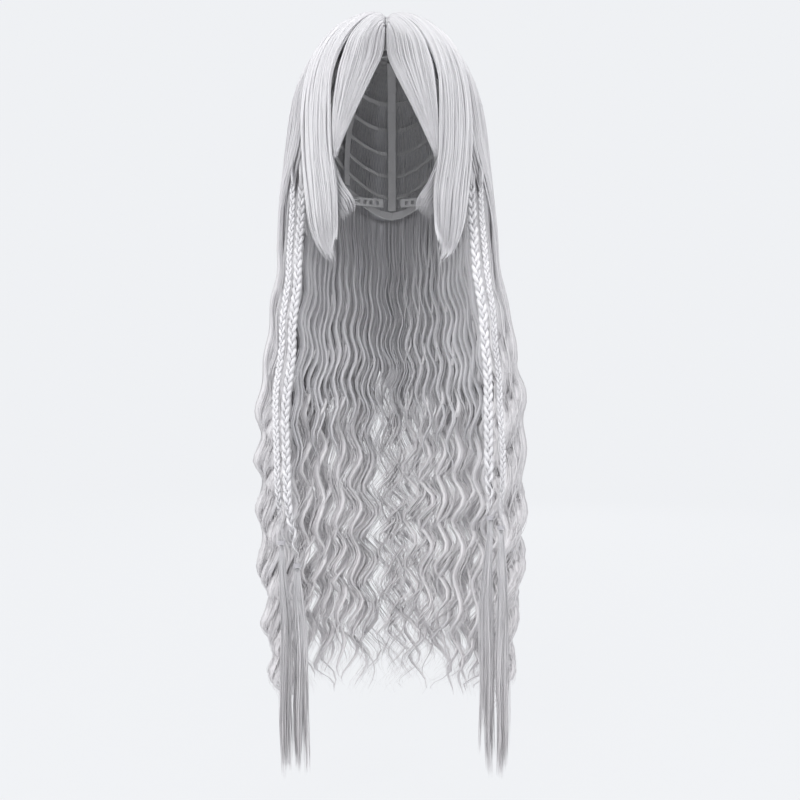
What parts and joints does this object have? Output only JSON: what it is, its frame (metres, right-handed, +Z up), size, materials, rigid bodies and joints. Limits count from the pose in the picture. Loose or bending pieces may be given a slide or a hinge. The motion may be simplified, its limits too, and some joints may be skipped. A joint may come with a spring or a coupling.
{
  "type": "costume wig",
  "caption": "Very long wavy hairpiece on a net cap, with a centre parting, face-framing locks, a split fringe and plaited side strands that end in loose tails.",
  "frame": {"origin": "centre of the cap's head opening, between the ears", "axes": "+Z up, the wearer's face looks along -Y, +X is the wearer's left"},
  "size_m": [0.3064, 0.241, 0.8329],
  "materials": {
    "hair": "cool silver-grey synthetic fibre, satin",
    "hair_shade": "inner hair, the same fibre in shade",
    "braid": "plaited silver-grey fibre",
    "net": "pale grey stretch net",
    "tape": "pale grey sewn tape",
    "weft": "machine-sewn weft track",
    "elastic": "woven elastic",
    "steel": "bent wire, satin",
    "rubber": "clear grey elastic tie"
  },
  "bodies": {
    "cap": {"cap_net": "net", "front_band": "tape", "nape_band": "tape", "ear_tab_left": "tape", "ear_tab_right": "tape", "ear_to_ear_ribbon": "tape", "rib_left": "tape", "rib_centre": "tape", "rib_right": "tape", "parting_strip": "net", "weft_1": "weft", "weft_2": "weft", "weft_3": "weft", "weft_4": "weft", "weft_5": "weft", "eyelet_strip_left": "tape", "eyelet_strip_right": "tape", "strap_left": "elastic", "strap_right": "elastic", "crown_front_left": "hair", "crown_front_right": "hair", "crown_temple_left": "hair", "crown_temple_right": "hair", "crown_side_left": "hair", "crown_side_right": "hair", "crown_back": "hair"},
    "fringe_left": {"fringe_left": "hair"},
    "fringe_right": {"fringe_right": "hair"},
    "front_lock_left": {"front_lock_left": "hair", "under_lock_left": "hair_shade"},
    "front_lock_right": {"front_lock_right": "hair", "under_lock_right": "hair_shade"},
    "back_hair_left": {"back_hair_left": "hair"},
    "back_hair_right": {"back_hair_right": "hair"},
    "back_hair_centre": {"back_hair_centre": "hair", "nape_hair": "hair_shade"},
    "braid_outer_right": {"braid_outer_right": "braid", "tie_outer_right": "rubber"},
    "braid_inner_right": {"braid_inner_right": "braid", "tie_inner_right": "rubber"},
    "braid_inner_left": {"braid_inner_left": "braid", "tie_inner_left": "rubber"},
    "braid_outer_left": {"braid_outer_left": "braid", "tie_outer_left": "rubber"},
    "tail_outer_right": {"tail_outer_right": "hair"},
    "tail_inner_right": {"tail_inner_right": "hair"},
    "tail_inner_left": {"tail_inner_left": "hair"},
    "tail_outer_left": {"tail_outer_left": "hair"},
    "strap_hook_left": {"strap_hook_left": "steel"},
    "strap_hook_right": {"strap_hook_right": "steel"}
  },
  "joints": [
    {"name": "fringe_left_lift", "type": "hinge", "parent": "cap", "child": "fringe_left", "pos_m": [0.025, -0.086, 0.085], "axis": [-1, 0, 0], "range_deg": [0, 25]},
    {"name": "fringe_right_lift", "type": "hinge", "parent": "cap", "child": "fringe_right", "pos_m": [-0.025, -0.086, 0.085], "axis": [-1, 0, 0], "range_deg": [0, 25]},
    {"name": "front_lock_left_lift", "type": "hinge", "parent": "cap", "child": "front_lock_left", "pos_m": [0.073, -0.07, 0.036], "axis": [-1, 0, 0], "range_deg": [0, 30]},
    {"name": "front_lock_right_lift", "type": "hinge", "parent": "cap", "child": "front_lock_right", "pos_m": [-0.073, -0.07, 0.036], "axis": [-1, 0, 0], "range_deg": [0, 30]},
    {"name": "back_hair_left_swing", "type": "hinge", "parent": "cap", "child": "back_hair_left", "pos_m": [0.11, 0.03, -0.112], "axis": [1, 0, 0], "range_deg": [0, 20]},
    {"name": "back_hair_right_swing", "type": "hinge", "parent": "cap", "child": "back_hair_right", "pos_m": [-0.11, 0.03, -0.112], "axis": [1, 0, 0], "range_deg": [0, 20]},
    {"name": "back_hair_centre_swing", "type": "hinge", "parent": "cap", "child": "back_hair_centre", "pos_m": [0, 0.078, -0.112], "axis": [1, 0, 0], "range_deg": [0, 20]},
    {"name": "braid_outer_right_swing", "type": "hinge", "parent": "cap", "child": "braid_outer_right", "pos_m": [-0.101, -0.052, -0.072], "axis": [-1, 0, 0], "range_deg": [0, 40]},
    {"name": "braid_inner_right_swing", "type": "hinge", "parent": "cap", "child": "braid_inner_right", "pos_m": [-0.0915, -0.052, -0.072], "axis": [-1, 0, 0], "range_deg": [0, 40]},
    {"name": "braid_inner_left_swing", "type": "hinge", "parent": "cap", "child": "braid_inner_left", "pos_m": [0.092, -0.052, -0.072], "axis": [-1, 0, 0], "range_deg": [0, 40]},
    {"name": "braid_outer_left_swing", "type": "hinge", "parent": "cap", "child": "braid_outer_left", "pos_m": [0.102, -0.052, -0.072], "axis": [-1, 0, 0], "range_deg": [0, 40]},
    {"name": "tail_outer_right_swing", "type": "hinge", "parent": "braid_outer_right", "child": "tail_outer_right", "pos_m": [-0.114, -0.072, -0.4426], "axis": [-1, 0, 0], "range_deg": [-15, 15]},
    {"name": "tail_inner_right_swing", "type": "hinge", "parent": "braid_inner_right", "child": "tail_inner_right", "pos_m": [-0.098, -0.072, -0.4666], "axis": [-1, 0, 0], "range_deg": [-15, 15]},
    {"name": "tail_inner_left_swing", "type": "hinge", "parent": "braid_inner_left", "child": "tail_inner_left", "pos_m": [0.1045, -0.072, -0.4166], "axis": [-1, 0, 0], "range_deg": [-15, 15]},
    {"name": "tail_outer_left_swing", "type": "hinge", "parent": "braid_outer_left", "child": "tail_outer_left", "pos_m": [0.1165, -0.072, -0.4266], "axis": [-1, 0, 0], "range_deg": [-15, 15]},
    {"name": "strap_hook_left_slide", "type": "slide", "parent": "cap", "child": "strap_hook_left", "axis": [-0.9455, 0.3256, 0], "range_m": [0, 0.024], "deforming": ["strap_left"]},
    {"name": "strap_hook_right_slide", "type": "slide", "parent": "cap", "child": "strap_hook_right", "axis": [0.9455, 0.3256, 0], "range_m": [0, 0.024], "deforming": ["strap_right"]}
  ]
}
